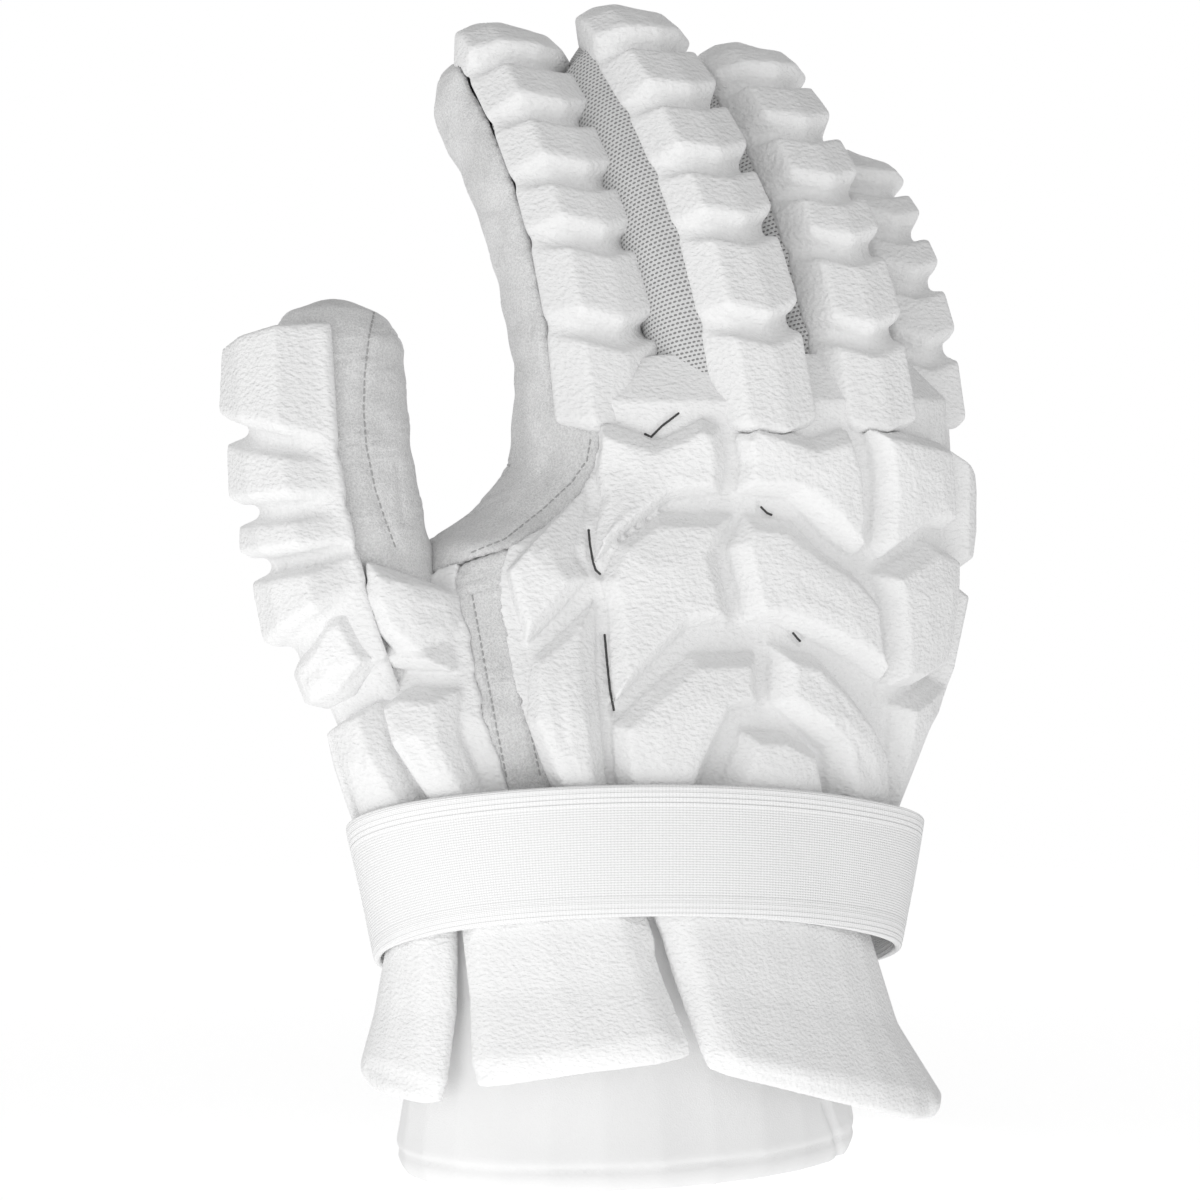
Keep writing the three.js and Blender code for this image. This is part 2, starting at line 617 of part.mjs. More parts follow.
function strap() {
  const rings = steps(-180, 180, STRAP_STEPS)
    .slice(0, -1)
    .map((angle) => {
      const [middle, lift] = [strapHeight(angle), strapLift(angle)];
      const [low, high] = [middle - STRAP_WIDTH / 2, middle + STRAP_WIDTH / 2];
      return [
        bodyPoint(angle, low, lift),
        bodyPoint(angle, high, lift),
        bodyPoint(angle, high, lift + STRAP_THICKNESS),
        bodyPoint(angle, low, lift + STRAP_THICKNESS),
      ];
    });
  return solid(loft(rings, "joined"));
}

// Plates: three padded flaps that hang from under the strap and flare off the cuff. Sides are in
// degrees at the top and at the lower edge, lower edges in shares of the cuff's height.
const PLATES = [
  { name: "plate_thumb_side", from: [-124, -118], to: [-67.5, -67.5], hem: [0.34, 0.33, 0.32], flare: 0.7 },
  { name: "plate_middle", from: [-65.5, -57], to: [-17, -9], hem: [0.4, 0.46, 0.5], flare: 1 },
  { name: "plate_little_side", from: [-15.5, -6.5], to: [118, 112], hem: [0.45, 0.13, 0.14], flare: 1 },
];
const PLATE_UNDER_STRAP = 5;
const PLATE_SEAT = 1;
const PLATE_STEP = 13; // degrees between two stations
const PLATE_BEVEL = 4;

function plate({ from, to, hem, flare }) {
  const count = Math.ceil((to[0] - from[0]) / PLATE_STEP);
  const side = 1.6 / count;
  const parts = [0, side * 0.35, ...steps(0, 1, count).slice(1, -1), 1 - side * 0.35, 1];
  const stations = parts.map((part) => {
    const full = part === 0 || part === 1 ? 0.5 : 1;
    const angles = [0, 1].map((end) => mix(from[end], to[end], part));
    const top = strapHeight(angles[0]) - STRAP_WIDTH / 2 + PLATE_UNDER_STRAP;
    const lower = part < 0.5 ? mix(hem[0], hem[1], part * 2) : mix(hem[1], hem[2], part * 2 - 1);
    const bottom = cuffAt(lower);
    const spread = PLATE_FLARE * flare + STRAP_SPREAD * 1.4 * (1 - across(angles[1] - 78, 10, 60));
    const at = (down, out, up = 0) => {
      const lift = PLATE_SEAT + (spread - PLATE_SEAT - PLATE_THICKNESS * 0.4) * down ** 1.3;
      const angle = mix(angles[0], angles[1], down);
      return bodyPoint(angle, mix(top, bottom, down) + up, lift + out);
    };
    const thick = PLATE_THICKNESS * full;
    return [
      at(0, 0),
      at(0.5, 0),
      at(1, 0),
      at(1, thick * 0.45),
      at(1, thick * 0.85, PLATE_BEVEL),
      at(0.5, thick),
      at(0, thick),
    ];
  });
  return solid(loft(stations, "capped"));
}

fingerPads();
thumbPads();
blocks();
sleeves();
handPanels();
add("cuff_liner", liner(), "leather");
for (const row of PLATES) add(row.name, plate(row), "leather");
add("wrist_strap", strap(), "elastic");

// The glove stands on the middle of its footprint.
const glove = new THREE.Group();
glove.add(...nodes);
const bounds = new THREE.Box3().setFromObject(glove);
const middle = bounds.getCenter(new THREE.Vector3());
glove.position.set(-middle.x, -middle.y, -bounds.min.z);
export default glove;
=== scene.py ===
import math

import bpy
import numpy as np
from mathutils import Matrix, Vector
from mathutils.bvhtree import BVHTree


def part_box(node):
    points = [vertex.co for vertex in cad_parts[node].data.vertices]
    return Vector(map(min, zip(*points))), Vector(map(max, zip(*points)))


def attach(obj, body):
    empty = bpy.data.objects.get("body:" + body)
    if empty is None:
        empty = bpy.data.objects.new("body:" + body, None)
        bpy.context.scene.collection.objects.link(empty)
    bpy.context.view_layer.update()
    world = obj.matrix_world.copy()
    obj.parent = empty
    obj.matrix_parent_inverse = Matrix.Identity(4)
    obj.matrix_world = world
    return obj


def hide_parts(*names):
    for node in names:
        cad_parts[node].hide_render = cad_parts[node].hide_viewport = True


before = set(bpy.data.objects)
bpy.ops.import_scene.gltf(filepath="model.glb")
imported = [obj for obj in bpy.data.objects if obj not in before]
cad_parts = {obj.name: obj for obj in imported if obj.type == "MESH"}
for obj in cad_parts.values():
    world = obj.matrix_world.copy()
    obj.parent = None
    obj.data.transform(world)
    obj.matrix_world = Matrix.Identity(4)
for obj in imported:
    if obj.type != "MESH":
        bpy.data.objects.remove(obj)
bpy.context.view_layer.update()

MM = 0.001
BODY = "root"

# The photograph's camera, which looks along +Y at azimuth 0
AZIMUTH = math.radians(-30)
ELEVATION = math.radians(3)
CAMERA_DISTANCE = 1.2
CAMERA_TARGET = Vector((-7.2, 0, 158.3)) * MM
FRAME_WIDTH = 338 * MM  # what the frame takes in at the target
PHOTO_WIDTH = 1200  # pixels, in which the lines below are named
SENSOR = 36

# Digits, as they are in the solids: where each starts, how it leans and how it curls, in degrees
FINGER_ROOT_Z = 204 * MM
FINGER_LENGTHS = {"index": 126, "middle": 135, "ring": 122, "little": 85}
FINGER_WIDTHS = {"index": 34, "middle": 30, "ring": 29, "little": 27}
FINGER_DEPTHS = {"index": 34, "middle": 31, "ring": 31, "little": 29}
FINGER_LEANS = {"index": -0.8, "middle": -4, "ring": -3, "little": 0}
FINGER_CURLS = {"index": 52, "middle": 54, "ring": 52, "little": 46}
FINGER_ROLLS = {"index": 6, "middle": 4, "ring": 3, "little": 2}
FINGER_GAP = 6
FINGER_START_CURL = 4
ROW_MIDDLE = Vector((38.9, -24.1, 0)) * MM
KNUCKLE_ARCH = 42 * MM
THUMB = {
    "width": 34 * MM,
    "depth": 39 * MM,
    "length": 146 * MM,
    "root": (-0.0491, 0.0009, 0.104),
    "lean": (-34, 6),
    "curl": (4, 12),
    "roll": -86,
}
TIP_ROUND = 13 * MM
PATH_STEPS = 48
SKIN_REACH, SKIN_DEPTH = 0.99, 0.06  # the facets of the skin, in shares of the digit's half width
PLEATS_ROUND, PLEAT, PLEAT_REACH = 17, 0.5 * MM, 34 * MM
TUCK_FROM, TUCK_OVER, TUCK_LIMIT = 0.8, 0.14, 0.9  # how far aside the pads may reach
NO_TUCK = 2
OUTER_REACH = 0.8  # a digit's outer side starts at this share of its half width


class Digit:
    """The middle line of a finger or the thumb, with its ways along, to its back and aside."""

    def __init__(self, width, depth, length, root, lean, curl, roll):
        self.width, self.depth, self.length = width, depth, length
        self.straight = length - TIP_ROUND
        self.lean, self.curl = np.radians(lean), np.radians(curl)
        turn = math.radians(roll)
        self.facing = np.array((math.sin(turn), -math.cos(turn), 0))
        self.step = self.straight / PATH_STEPS
        self.stations = [np.array(root)]
        for k in range(PATH_STEPS):
            ahead = self.heading((k + 0.5) * self.step)
            self.stations.append(self.stations[k] + self.step * ahead)
        self.stations = np.array(self.stations)

    def heading(self, s):
        lean, curl = (a + (b - a) * s / self.straight for a, b in (self.lean, self.curl))
        level = math.cos(curl)
        return np.array((math.sin(lean) * level, math.sin(curl), math.cos(lean) * level))

    def axes(self, s):
        along = self.heading(min(s, self.straight))
        back = self.facing - along * self.facing.dot(along)
        back /= np.linalg.norm(back)
        return along, back, np.cross(along, back)

    def centre(self, s):
        at = min(max(s / self.step, 0), PATH_STEPS - 1e-6)
        k = int(at)
        return self.stations[k] + (self.stations[k + 1] - self.stations[k]) * (at - k)

    def point(self, angle, s, lift=0):
        """A point on the digit's skin, lifted off it. The angle is 0 at its back."""
        along, back, side = self.axes(s)
        round_over = math.radians(90) * min(max((s - self.straight) / TIP_ROUND, 0), 1)
        across = math.sin(math.radians(angle)) * (self.width / 2 + lift) * math.cos(round_over)
        out = math.cos(math.radians(angle)) * (self.depth / 2 + lift) * math.cos(round_over)
        tip = along * math.sin(round_over) * (TIP_ROUND + lift)
        return self.centre(s) + side * across + back * out + tip

    def read(self, points):
        """Each point's angle round the digit, distance along, reach and way off the middle.

        The reach is 1 on the digit's skin, also over its rounded tip.
        """
        gaps = points[:, None, :] - self.stations[None, :, :]
        nearest = np.argmin((gaps**2).sum(2), 1)
        frames = np.array([self.axes(k * self.step) for k in range(PATH_STEPS + 1)])
        local = np.einsum("ij,ikj->ik", gaps[np.arange(len(points)), nearest], frames[nearest])
        across, out = 2 * local[:, 2] / self.width, 2 * local[:, 1] / self.depth
        along = nearest * self.step + local[:, 0]
        over = np.maximum(along - self.straight, 0)
        offset = local * (0, 1, 1)
        offset[:, 0] = over
        offset = np.einsum("ij,ijk->ik", offset, frames[nearest])
        reach = np.sqrt(across**2 + out**2 + (over / TIP_ROUND) ** 2)
        return np.arctan2(across, out), along, reach, offset

    def rounded(self, points, start=0):
        """How far the skin's points lie off the round form that its facets stand for."""
        _, along, reach, offset = self.read(points)
        near_skin = np.abs(reach - SKIN_REACH) < SKIN_DEPTH
        on_skin = near_skin & (along > start) & (along < self.straight)
        return np.where(on_skin, 1 / np.maximum(reach, 0.5) - 1, 0)[:, None] * offset

    def pleats(self, points):
        """Heights of the small pleats where the cloth is gathered at the digit's root."""
        angle, along, _, _ = self.read(points)
        return PLEAT * np.sin(angle * PLEATS_ROUND) * np.clip(1 - along / PLEAT_REACH, 0, 1)

    def tucked(self, points):
        """Draws in what wraps too far round the sides, so that the cloth there covers it."""
        angle, _, reach, offset = self.read(points)
        aside = np.abs(np.sin(angle)) * np.minimum(reach, 1)
        share = np.clip((aside - TUCK_FROM) / TUCK_OVER, 0, 1)
        limit = NO_TUCK - (NO_TUCK - TUCK_LIMIT) * share * share * (3 - 2 * share)
        return (np.minimum(limit / np.maximum(reach, 0.01), 1) - 1)[:, None] * offset

    def bulged(self, points, side, amount):
        """A swell on one side of the digit, for cloth that fills out between two fingers."""
        angle, along, reach, offset = self.read(points)
        facing = np.clip(np.cos(angle - math.radians(side)), 0, 1) ** 2
        length = np.clip(np.sin(math.pi * np.clip(along / self.straight, 0, 1)), 0, 1) ** 0.5
        size = np.linalg.norm(offset, axis=1)
        swell = amount * facing * length * (reach > OUTER_REACH) / np.maximum(size, 1e-4)
        return offset * swell[:, None]


def finger_row():
    """The fingers side by side in an arch, each taking its own width and the gap beside it."""
    widths = list(FINGER_WIDTHS.values())
    row = sum(widths) + FINGER_GAP * (len(widths) - 1)
    made, edge = {}, -row / 2
    for name, width in FINGER_WIDTHS.items():
        across = edge + width / 2
        edge += width + FINGER_GAP
        arch = KNUCKLE_ARCH * (2 * across / row) ** 2
        root = ROW_MIDDLE + Vector((across * MM, arch, FINGER_ROOT_Z))
        lean, curl = (FINGER_LEANS[name],) * 2, (FINGER_START_CURL, FINGER_CURLS[name])
        sizes = (size[name] * MM for size in (FINGER_WIDTHS, FINGER_DEPTHS, FINGER_LENGTHS))
        made[name] = Digit(*sizes, root, lean, curl, FINGER_ROLLS[name])
    return made


digits = finger_row()
digits["thumb"] = Digit(**THUMB)


# Modelling
STRIP_GRID = (24, 60)
STITCH_SIDES, STITCH_BEVEL, STITCH_ANGLE = 8, 0.45, 60
# Pitch, length and half the thickness of each kind of stitch
# The strip in the slits is near black: painted shadow, laid like a stitch
SLIT_SHADOW_STRIP = (0.5 * MM, 1 * MM, 0.34 * MM)
SUEDE_STITCH = (2.3 * MM, 1.7 * MM, 0.26 * MM)
PALM_STITCH = (2.6 * MM, 1.9 * MM, 0.28 * MM)
TAB_STITCH = (2.4 * MM, 1.8 * MM, 0.28 * MM)


def only(*pieces):
    """Selects these pieces alone and makes the first one active."""
    bpy.ops.object.select_all(action="DESELECT")
    for piece in pieces:
        piece.select_set(True)
    bpy.context.view_layer.objects.active = pieces[0]


def copy_of(name, *nodes):
    """One new piece from copies of these solids, with their loose triangles joined."""
    copies = []
    for node in nodes:
        made = bpy.data.objects.new(name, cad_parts[node].data.copy())
        made.data.materials.clear()
        bpy.context.scene.collection.objects.link(made)
        copies.append(made)
    only(*copies)
    if len(copies) > 1:
        bpy.ops.object.join()
    piece = bpy.context.view_layer.objects.active
    bpy.ops.object.mode_set(mode="EDIT")
    bpy.ops.mesh.select_all(action="SELECT")
    bpy.ops.mesh.customdata_custom_splitnormals_clear()
    bpy.ops.mesh.remove_doubles(threshold=1e-6)
    bpy.ops.object.mode_set(mode="OBJECT")
    piece.name = piece.data.name = name
    return piece


def change(piece, kind, **settings):
    """Adds a modifier to a piece and applies it."""
    only(piece)
    modifier = piece.modifiers.new(kind.lower(), kind)
    for key, value in settings.items():
        setattr(modifier, key, value)
    bpy.ops.object.modifier_apply(modifier=modifier.name)
    return piece


def bevel(piece, width, angle):
    """Rounds the edges that turn by more than so many degrees."""
    limit = math.radians(angle)
    return change(piece, "BEVEL", width=width, segments=2, limit_method="ANGLE", angle_limit=limit)


def remesh(piece, voxel):
    return change(piece, "REMESH", mode="VOXEL", voxel_size=voxel)


def relax(piece, rounds, factor=0.5):
    return change(piece, "SMOOTH", iterations=rounds, factor=factor)


def strip_on(digit, angles, start, end, lift, thickness, crown=0):
    """A strip laid along a digit between two angles, flat on it or crowned towards its middle."""
    bpy.ops.object.select_all(action="DESELECT")
    columns, rows = STRIP_GRID
    bpy.ops.mesh.primitive_grid_add(x_subdivisions=columns, y_subdivisions=rows, size=2)
    piece = bpy.context.object
    laid = []
    for x, y, _ in read_points(piece)[0]:
        across, along = (x + 1) / 2, (y + 1) / 2
        swell = crown * math.sin(math.pi * across) ** 0.8 * math.sin(math.pi * along) ** 0.3
        angle = angles[0] + (angles[1] - angles[0]) * across
        laid.append(digit.point(angle, start + (end - start) * along, lift + swell))
    piece.data.vertices.foreach_set("co", np.array(laid).ravel())
    return change(piece, "SOLIDIFY", thickness=thickness, offset=0)


def joined(piece, *others):
    only(piece, *others)
    bpy.ops.object.join()
    return piece


def mould(piece, voxel, web, rounds):
    """Joins what touches and fills grooves narrower than twice the web, as in moulded foam."""
    remesh(piece, voxel)
    relax(piece, 2)
    for by in (web, -web):
        change(piece, "DISPLACE", strength=by, mid_level=0)
        remesh(piece, voxel)
        relax(piece, 1)
    return relax(piece, rounds)


def read_points(piece):
    points = np.zeros(len(piece.data.vertices) * 3)
    piece.data.vertices.foreach_get("co", points)
    normals = np.zeros_like(points)
    piece.data.vertices.foreach_get("normal", normals)
    return points.reshape(-1, 3), normals.reshape(-1, 3)


def push(piece, rule):
    """Moves each point by what the rule gives for all the points and their normals."""
    points, normals = read_points(piece)
    piece.data.vertices.foreach_set("co", (points + rule(points, normals)).ravel())
    piece.data.update()
    return piece


def away_at(azimuth, elevation):
    """The way from the glove to a camera or a light."""
    away = Vector((math.sin(azimuth), -math.cos(azimuth), 0)) * math.cos(elevation)
    away.z = math.sin(elevation)
    return away


def tree_of(piece):
    faces = [face.vertices[:] for face in piece.data.polygons]
    return BVHTree.FromPolygons([v.co for v in piece.data.vertices], faces)


def sight(x, y):
    """The ray from the camera through a pixel of the photograph."""
    away = away_at(AZIMUTH, ELEVATION)
    right = (-away).cross(Vector((0, 0, 1))).normalized()
    aside, above = (x / PHOTO_WIDTH - 0.5) * FRAME_WIDTH, (0.5 - y / PHOTO_WIDTH) * FRAME_WIDTH
    way = right * aside + right.cross(-away) * above - away * CAMERA_DISTANCE
    return CAMERA_TARGET + away * CAMERA_DISTANCE, way.normalized()


def facing_palm(x, z):
    """The ray that meets the palm at that many millimetres across and up."""
    return Vector((x * MM, 0.5, z * MM)), Vector((0, -1, 0))


def line_on(corners, piece, ray=sight, spacing=2):
    """Points and normals along a line on a piece, met by a ray through each step of the line."""
    tree = tree_of(piece)
    found = []
    for start, end in zip(corners, corners[1:]):
        steps = max(round(math.dist(start, end) / spacing), 1)
        for k in range(steps + 1):
            hit = tree.ray_cast(*ray(*(a + (b - a) * k / steps for a, b in zip(start, end))))
            if hit[0]:
                found.append(hit[:2])
    return np.array([place for place, _ in found]), np.array([normal for _, normal in found])


def groove(piece, line, depth, width):
    """Presses a groove into a piece along a line."""

    def rule(points, normals):
        near = np.full(len(points), np.inf)
        low, high = line.min(0) - width, line.max(0) + width
        inside = np.flatnonzero(((points > low) & (points < high)).all(1))
        if len(inside):
            gaps = points[inside][:, None, :] - line[None, :, :]
            near[inside] = np.sqrt((gaps**2).sum(2)).min(1)
        share = np.clip(1 - (near / width) ** 2, 0, 1) ** 2
        return normals * (-depth * share)[:, None]

    return push(piece, rule)


def stitch_row(name, line, normals, stitch, material):
    """Stitches along a line, from one stitch that is rounded at both ends and lies half sunk."""
    pitch, length, radius = stitch
    bpy.ops.object.select_all(action="DESELECT")
    bpy.ops.mesh.primitive_cylinder_add(vertices=STITCH_SIDES, radius=1, depth=2)
    first = bevel(bpy.context.object, STITCH_BEVEL, STITCH_ANGLE)
    shape = read_points(first)[0] * (radius, radius, length / 2)
    gone = np.concatenate([[0], np.cumsum(np.linalg.norm(np.diff(line, axis=0), axis=1))])
    row = [first]
    for at in np.arange(pitch / 2, gone[-1], pitch):
        place = np.array([np.interp(at, gone, line[:, k]) for k in range(3)])
        ahead = np.array([np.interp(at + pitch / 4, gone, line[:, k]) for k in range(3)])
        out = normals[np.searchsorted(gone, at) - 1]
        along = (ahead - place) / max(np.linalg.norm(ahead - place), 1e-9)
        side = np.cross(along, out)
        side /= max(np.linalg.norm(side), 1e-9)
        made = bpy.data.objects.new(name, first.data.copy())
        bpy.context.scene.collection.objects.link(made)
        laid = place + shape @ np.stack([side, np.cross(side, along), along])
        made.data.vertices.foreach_set("co", laid.ravel())
        row.append(made)
    bpy.data.objects.remove(row.pop(0))
    piece = joined(*row)
    piece.name = piece.data.name = name
    return dress(piece, material)


def lay_map(piece, name, angle, radius, v):
    """Writes a flat map in metres, so that a weave follows the surface round a middle line."""
    layer = piece.data.uv_layers.new(name=name)
    corners = np.zeros(len(piece.data.loops), int)
    piece.data.loops.foreach_get("vertex_index", corners)
    starts = np.zeros(len(piece.data.polygons), int)
    piece.data.polygons.foreach_get("loop_start", starts)
    first = np.repeat(starts, np.diff(np.append(starts, len(corners))))
    turns = np.round((angle[corners] - angle[corners[first]]) / math.tau)
    unrolled = angle[corners] - turns * math.tau
    layer.data.foreach_set("uv", np.stack([unrolled * radius, v[corners]], 1).ravel())


def dress(piece, material, nodes=()):
    """Gives a finished piece its material, attaches it to the body and hides the solids that it
    takes the place of.
    """
    only(piece)
    bpy.ops.object.shade_smooth()
    piece.data.materials.clear()
    piece.data.materials.append(material)
    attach(piece, BODY)
    if nodes:
        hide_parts(*nodes)
    return piece


# Shading
class Value:
    """A number in a material. Sums with it add Math nodes."""

    def __init__(self, shade, socket):
        self.shade, self.socket = shade, socket

    def math(self, operation, *values):
        return self.shade.add("ShaderNodeMath", {"operation": operation}, dict(enumerate(values)))

    def __add__(self, other):
        return self.math("ADD", self, other)

    def __sub__(self, other):
        return self.math("SUBTRACT", self, other)

    def __rsub__(self, other):
        return self.math("SUBTRACT", other, self)

    def __mul__(self, other):
        return self.math("MULTIPLY", self, other)

    def __truediv__(self, other):
        return self.math("DIVIDE", self, other)

    def __pow__(self, other):
        return self.math("POWER", self, other)

    __radd__, __rmul__ = __add__, __mul__

    def sine(self):
        return self.math("SINE", self)

    def part(self):
        return self.math("FRACT", self)

    def floor(self):
        return self.math("FLOOR", self)

    def modulo(self, step):
        return self.math("MODULO", self, step)

    def size(self):
        return self.math("ABSOLUTE", self)

    def eased(self, low, high):
        """0 below low, 1 above high, and smooth between them."""
        found = self.shade.add(
            "ShaderNodeMapRange",
            {"interpolation_type": "SMOOTHSTEP"},
            {"Value": self, "From Min": low, "From Max": high},
        )
        return found


class Shade:
    """A material's nodes, with its surface's constant sockets set from the start."""

    def __init__(self, name, **constants):
        self.material = bpy.data.materials.new(name)
        self.material.use_nodes = True
        self.tree = self.material.node_tree
        self.surface = self.tree.nodes["Principled BSDF"]
        for socket, value in constants.items():
            self.surface.inputs[socket.replace("_", " ")].default_value = value

    def feed(self, socket, value):
        if isinstance(value, Value):
            self.tree.links.new(value.socket, socket)
        elif isinstance(value, bpy.types.NodeSocket):
            self.tree.links.new(value, socket)
        else:
            socket.default_value = value

    def add(self, kind, settings=None, inputs=None, output=0):
        """A new node of that kind. Settings come first, and a ramp's stops are (place, colour)."""
        node = self.tree.nodes.new(kind)
        for key, value in (settings or {}).items():
            if key == "stops":
                stops = node.color_ramp.elements
                for element, (place, colour) in zip(stops, value):
                    element.position, element.color = place, colour
            else:
                setattr(node, key, value)
        for key, value in (inputs or {}).items():
            self.feed(node.inputs[key], value)
        return Value(self, node.outputs[output])

    def place(self):
        return self.add("ShaderNodeTexCoord", output="Object").socket

    def noise(self, scale, detail=2.0, roughness=0.5, stretch=None):
        vector = self.place()
        if stretch:
            vector = self.add("ShaderNodeMapping", {}, {"Vector": vector, "Scale": stretch}).socket
        inputs = {"Vector": vector, "Scale": scale, "Detail": detail, "Roughness": roughness}
        return self.add("ShaderNodeTexNoise", {}, inputs)

    def cells(self, scale, smoothness=0.6):
        inputs = {"Vector": self.place(), "Scale": scale, "Smoothness": smoothness}
        return self.add("ShaderNodeTexVoronoi", {"feature": "SMOOTH_F1"}, inputs)

    def colour(self, factor, dark, light):
        ends = [(0.0, (*dark, 1)), (1.0, (*light, 1))]
        return self.add("ShaderNodeValToRGB", {"stops": ends}, {"Fac": factor})

    def relief(self, height, depth, strength=1.0):
        """Feeds the surface's normal from a height, whose full range is so deep."""
        inputs = {"Height": height, "Distance": depth, "Strength": strength}
        bump = self.add("ShaderNodeBump", {}, inputs)
        self.feed(self.surface.inputs["Normal"], bump)

    def paint(self, colour, roughness):
        self.feed(self.surface.inputs["Base Color"], colour)
        self.feed(self.surface.inputs["Roughness"], roughness)
        return self.material


def grey(value):
    return (value, value, value)


def pebbled_leather(name, tone, pebble, depth):
    """White synthetic leather with a pressed grain, whose pebbles are that far apart."""
    shade = Shade(name, Specular_IOR_Level=0.35)
    pebbles = shade.cells(1 / pebble)
    worms = shade.noise(1.5 / pebble, detail=1, roughness=0.4, stretch=(0.75, 0.75, 1.2))
    fine = shade.noise(3.5 / pebble, detail=2, roughness=0.5)
    height = worms * 0.7 + (1 - pebbles) * 0.15 + fine * 0.15
    patches = shade.noise(35, detail=2)
    shade.relief(height, depth)
    # Random patches of tone, and painted shade that darkens the low parts of the grain
    tint = patches * 0.5 + height.eased(0.25, 0.7) * 0.5
    return shade.paint(shade.colour(tint, grey(tone - 0.06), grey(tone)), 0.5 + patches * 0.12)


def suede():
    shade = Shade("suede_nap", Sheen_Weight=0.35, Sheen_Roughness=0.6, Specular_IOR_Level=0.15)
    nap = shade.noise(1700, detail=3, roughness=0.7)
    brushed = shade.noise(60, detail=3, roughness=0.6, stretch=(1, 1, 0.4))
    shade.relief(nap * 0.8 + brushed * 0.2, 0.6 * MM)
    tint = nap.eased(0.3, 0.7) * 0.65 + brushed.eased(0.3, 0.7) * 0.35
    return shade.paint(shade.colour(tint, grey(0.6), grey(0.93)), 0.92 + nap * 0.06)


HOLE_PITCH, ROW_PITCH = 0.95 * MM, 1.15 * MM
HOLE_WIDE, HOLE_HIGH = 0.3, 0.2  # half a hole, in shares of its pitch and its row


def knit():
    """Knitted mesh: rows of small holes, which follow the map round and along the finger."""
    shade = Shade("knit_mesh", Sheen_Weight=0.2, Specular_IOR_Level=0.2)
    place = shade.add("ShaderNodeUVMap", {"uv_map": "weave"}).socket
    parts = shade.add("ShaderNodeSeparateXYZ", {}, {"Vector": place})
    u, v = (Value(shade, parts.socket.node.outputs[k]) for k in (0, 1))
    row = v / ROW_PITCH
    shifted = u / HOLE_PITCH + 0.5 * row.floor().modulo(2.0)
    across, along = shifted.part() - 0.5, row.part() - 0.5
    hole = 1 - ((across / HOLE_WIDE) ** 2.0 + (along / HOLE_HIGH) ** 2.0).eased(0.5, 1.6)
    shade.relief(1 - hole, 0.5 * MM)
    patches = shade.noise(90, detail=2)
    # The holes are painted dark: painted shade of the inside seen through them
    tint = (1 - hole * 0.85) * (0.85 + patches * 0.3)
    return shade.paint(shade.colour(tint, grey(0.22), grey(0.68)), 0.85 + hole * 0.1)


WARP, WEFT, RIB = 0.8 * MM, 0.7 * MM, 1.5 * MM
RIBS_FROM = (11.5 * MM, 13 * MM)  # off the strap's middle line


def woven_elastic():
    """Fine woven band, with a rib along each edge. The map's v is 0 along its middle."""
    shade = Shade("woven_elastic", Sheen_Weight=0.15, Specular_IOR_Level=0.25)
    place = shade.add("ShaderNodeUVMap", {"uv_map": "weave"}).socket
    parts = shade.add("ShaderNodeSeparateXYZ", {}, {"Vector": place})
    u, v = (Value(shade, parts.socket.node.outputs[k]) for k in (0, 1))
    across = (u * (math.pi / WARP)).sine().size()
    along = (v * (math.pi / WEFT)).sine().size()
    ribs = (v * (math.pi / RIB)).sine().size() * v.size().eased(*RIBS_FROM)
    height = across * 0.35 + along * 0.45 + ribs * 0.9
    shade.relief(height, 0.3 * MM)
    patches = shade.noise(50, detail=2)
    # Random patches of tone, and painted shade that darkens the low parts of the weave and ribs
    tint = patches * 0.4 + height.eased(0.1, 1.2) * 0.6
    return shade.paint(shade.colour(tint, grey(0.9), grey(0.98)), 0.7 + patches * 0.1)


def lining():
    shade = Shade("smooth_lining", Specular_IOR_Level=0.3, Sheen_Weight=0.1)
    grain = shade.noise(2200, detail=2, roughness=0.6)
    folds = shade.noise(30, detail=2)
    shade.relief(grain * 0.3 + folds * 0.7, 0.25 * MM)
    # Painted shade: the colour is darker in the hollows of the shallow folds
    return shade.paint(shade.colour(folds, grey(0.83), grey(0.88)), 0.6 + grain * 0.12)


def thread(name, tone):
    shade = Shade(name, Sheen_Weight=0.2)
    twist = shade.noise(3500, detail=2)
    shade.relief(twist, 0.1 * MM)
    return shade.paint(shade.colour(twist, grey(tone * 0.75), grey(tone)), 0.7 + twist * 0.2)


pad_leather = pebbled_leather("pad_leather", 0.89, 1.7 * MM, 0.7 * MM)
plate_leather = pebbled_leather("plate_leather", 0.93, 1.5 * MM, 0.6 * MM)
suede_nap, knit_mesh, elastic, liner_cloth = suede(), knit(), woven_elastic(), lining()
# The second thread is near black and lies in the slits as painted shadow
grey_thread, painted_slit_shadow = thread("grey_thread", 0.45), thread("painted_slit_shadow", 0.06)


# Armour
FINGER_PADS = {"index": 6, "middle": 6, "ring": 6, "little": 5}
HAND_BLOCKS = (
    "knuckle_index", "knuckle_middle", "knuckle_ring", "knuckle_little",
    "back_index", "back_middle", "back_ring", "back_little",
    "wrist_index", "wrist_ring", "wrist_middle", "web_upper", "web_lower",
)
THUMB_BASE = (
    "thumb_base_near", "thumb_base_far", "thumb_base_side", "thumb_root_near", "thumb_root_far",
)
THUMB_PADS = ("thumb_pad_1", "thumb_pad_2", "thumb_pad_3", "thumb_cap")
CRISP = 0.65 * MM
FINE = 0.75 * MM
COARSE = 0.95 * MM
